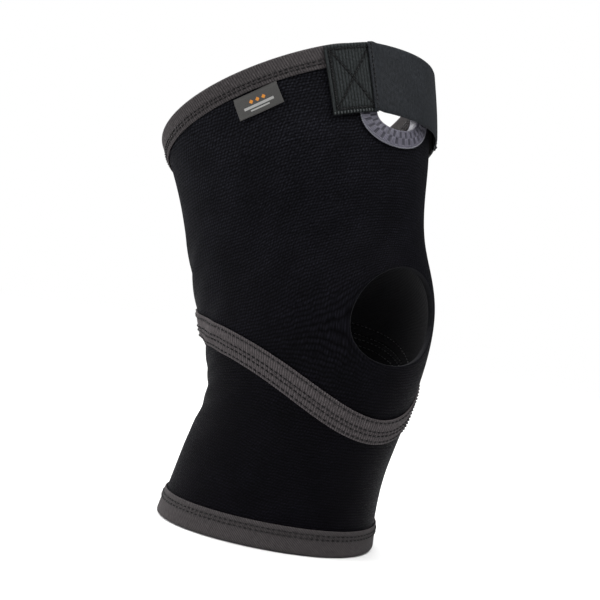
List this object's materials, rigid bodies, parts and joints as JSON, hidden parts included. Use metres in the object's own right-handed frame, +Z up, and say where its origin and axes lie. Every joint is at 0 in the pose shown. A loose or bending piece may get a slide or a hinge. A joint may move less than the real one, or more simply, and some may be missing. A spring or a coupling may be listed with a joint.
{
  "type": "knee brace",
  "caption": "Open-patella neoprene knee sleeve with bound hems, a diagonal seam tape and a webbing pull strap.",
  "frame": {"origin": "centre of the whole object's box in x and y, on the flat underside of the bottom hem", "axes": "+Z up along the calf, -Y to the front of the knee, X across the leg; the thigh part leans back towards +Y by the rest flexion"},
  "size_m": [0.1618, 0.1848, 0.2995],
  "materials": {
    "black_knit": "matte knit jersey laminated on neoprene",
    "grey_tape": "ribbed elastic tape, matte",
    "strap_webbing": "smooth woven webbing, low sheen",
    "ribbed_tab": "ribbed elastic, matte",
    "lavender_thread": "satin embroidery thread",
    "grey_thread": "polyester sewing thread",
    "label_weave": "damask woven label"
  },
  "bodies": {
    "calf": {"calf_panel": "black_knit", "bottom_binding": "grey_tape", "bottom_binding_stitch_1": "grey_thread", "bottom_binding_stitch_2": "grey_thread", "seam_tape": "grey_tape", "seam_tape_stitch_1": "grey_thread", "seam_tape_stitch_2": "grey_thread", "seam_tape_stitch_3": "grey_thread", "seam_tape_stitch_4": "grey_thread", "back_seam_thread_calf": "grey_thread"},
    "thigh": {"thigh_panel": "black_knit", "top_binding": "grey_tape", "top_binding_stitch_1": "grey_thread", "top_binding_stitch_2": "grey_thread", "eyelet_ring": "lavender_thread", "strap_tab_near": "ribbed_tab", "strap_tab_far": "ribbed_tab", "strap_tab_stitch_near": "grey_thread", "strap_tab_stitch_far": "grey_thread", "back_seam_thread_thigh": "grey_thread"},
    "strap": {"pull_strap": "strap_webbing"},
    "label": {"woven_label": "label_weave"}
  },
  "joints": [
    {"name": "knee_flexion", "type": "hinge", "parent": "calf", "child": "thigh", "pos_m": [0, -0.02737, 0.12287], "axis": [-1, 0, 0], "range_deg": [-30, 75], "deforming": ["thigh_panel", "calf_panel", "seam_tape", "seam_tape_stitch_1", "seam_tape_stitch_2", "seam_tape_stitch_3", "seam_tape_stitch_4", "back_seam_thread_calf", "back_seam_thread_thigh"]},
    {"name": "strap_lift", "type": "hinge", "parent": "thigh", "child": "strap", "pos_m": [0.01974, -0.03194, 0.28861], "axis": [-0.9283, -0.2601, 0.2657], "range_deg": [0, 70]},
    {"name": "label_flip", "type": "hinge", "parent": "thigh", "child": "label", "pos_m": [-0.06859, -0.00616, 0.26025], "axis": [-0.4428, 0.6996, -0.5608], "range_deg": [0, 110]}
  ]
}
